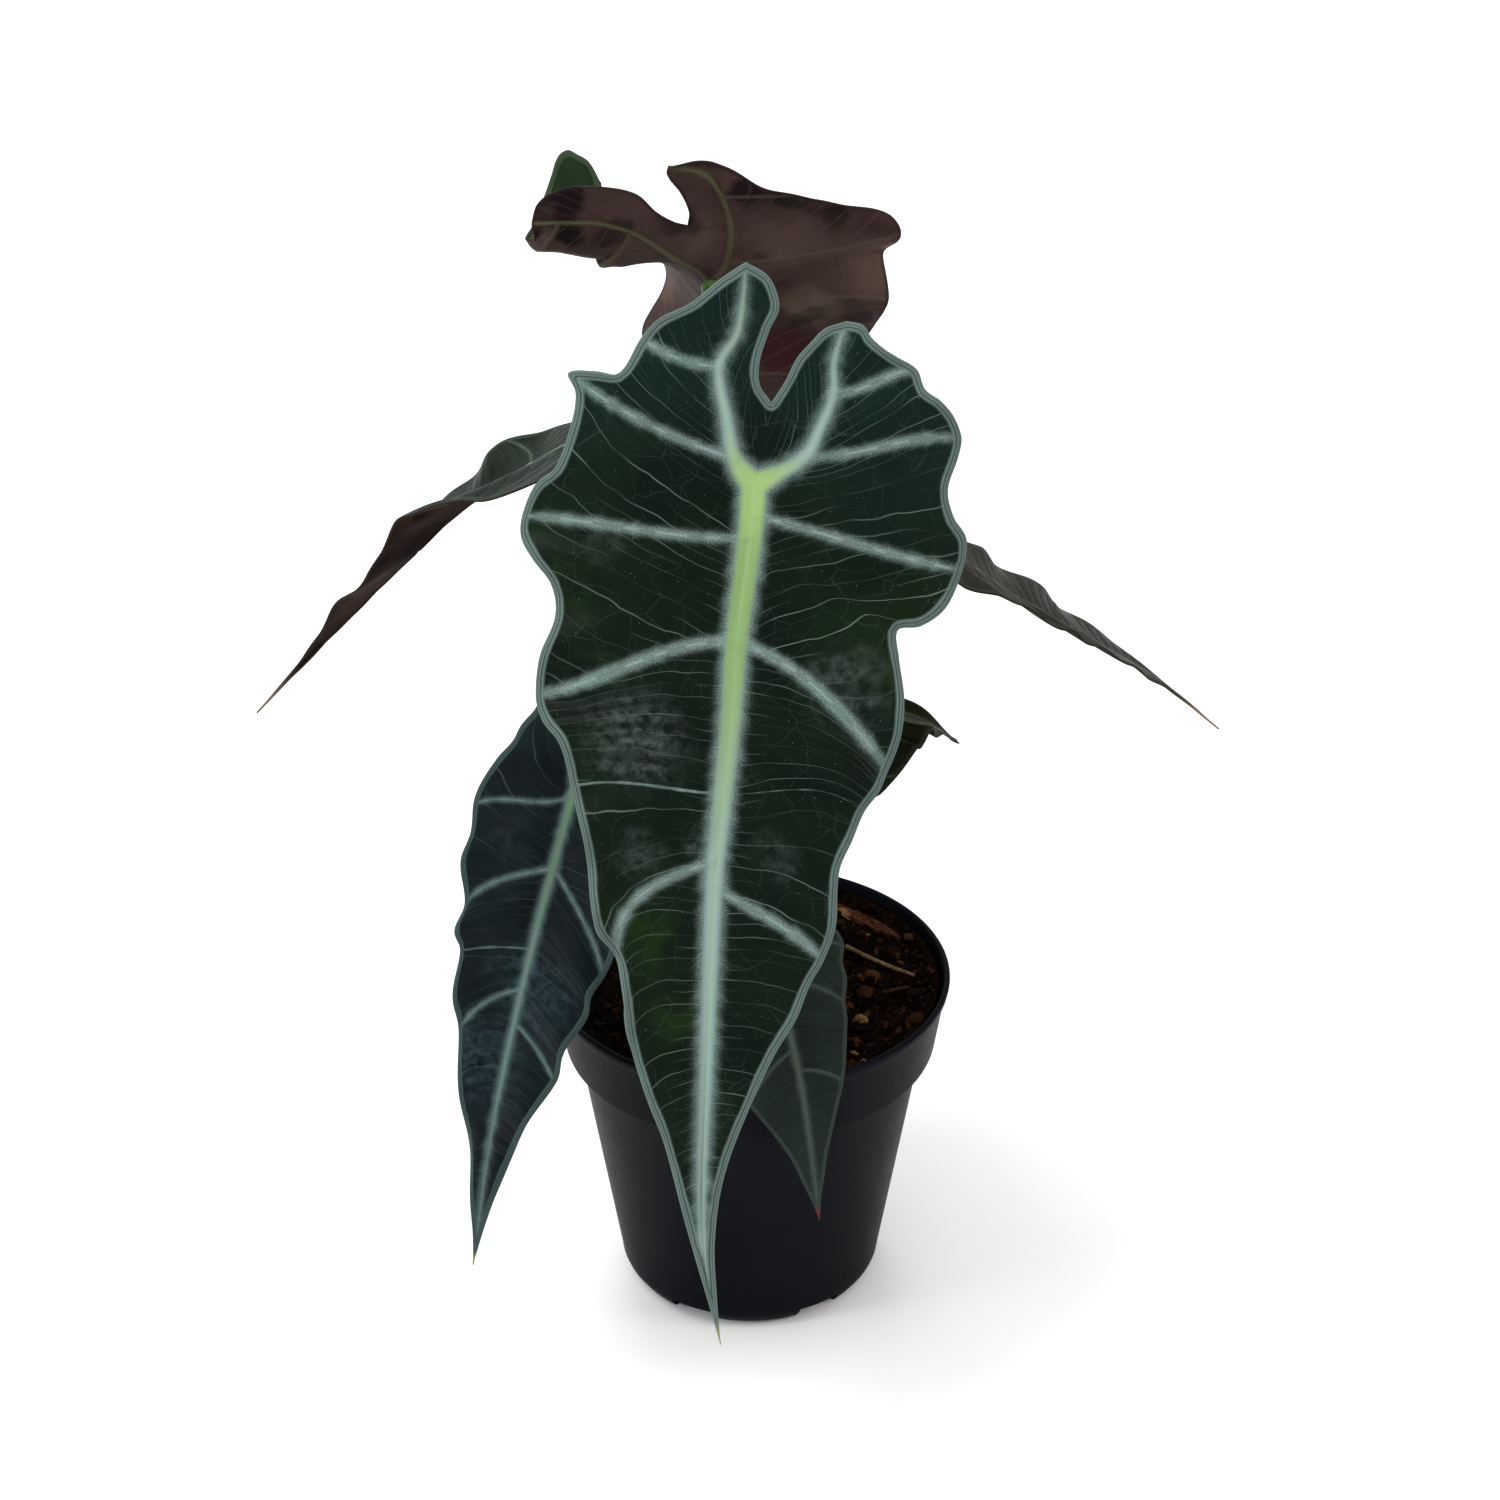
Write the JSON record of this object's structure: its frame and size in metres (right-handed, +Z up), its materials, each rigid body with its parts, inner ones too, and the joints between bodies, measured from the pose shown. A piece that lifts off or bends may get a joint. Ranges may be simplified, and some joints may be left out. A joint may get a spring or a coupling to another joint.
{
  "type": "potted alocasia",
  "caption": "Potted alocasia: arrow-shaped waved leaves with raised midribs on fleshy petioles, standing in soil in a round nursery pot.",
  "frame": {"origin": "middle of the pot's base, on the surface that the pot stands on", "axes": "+Z up along the pot's axis; -Y is the front, the side that the large leaf hangs on; +X is the viewer's right"},
  "size_m": [0.304, 0.2373, 0.3477],
  "materials": {
    "blade": "satin",
    "petiole": "satin",
    "pot": "matt",
    "soil": "crumbly",
    "bark": "rough"
  },
  "bodies": {
    "root": {"pot": "pot", "soil": "soil", "bark_strip": "bark", "straw_twig": "bark", "dark_twig": "bark", "leaf_front": "blade", "leaf_lower_left": "blade", "leaf_back": "blade", "leaf_left": "blade", "leaf_right": "blade", "leaf_small_right": "blade", "leaf_small_front": "blade", "petiole_front": "petiole", "petiole_lower_left": "petiole", "petiole_back": "petiole", "petiole_left": "petiole", "petiole_right": "petiole", "petiole_small_right": "petiole", "petiole_small_front": "petiole"}
  },
  "joints": []
}
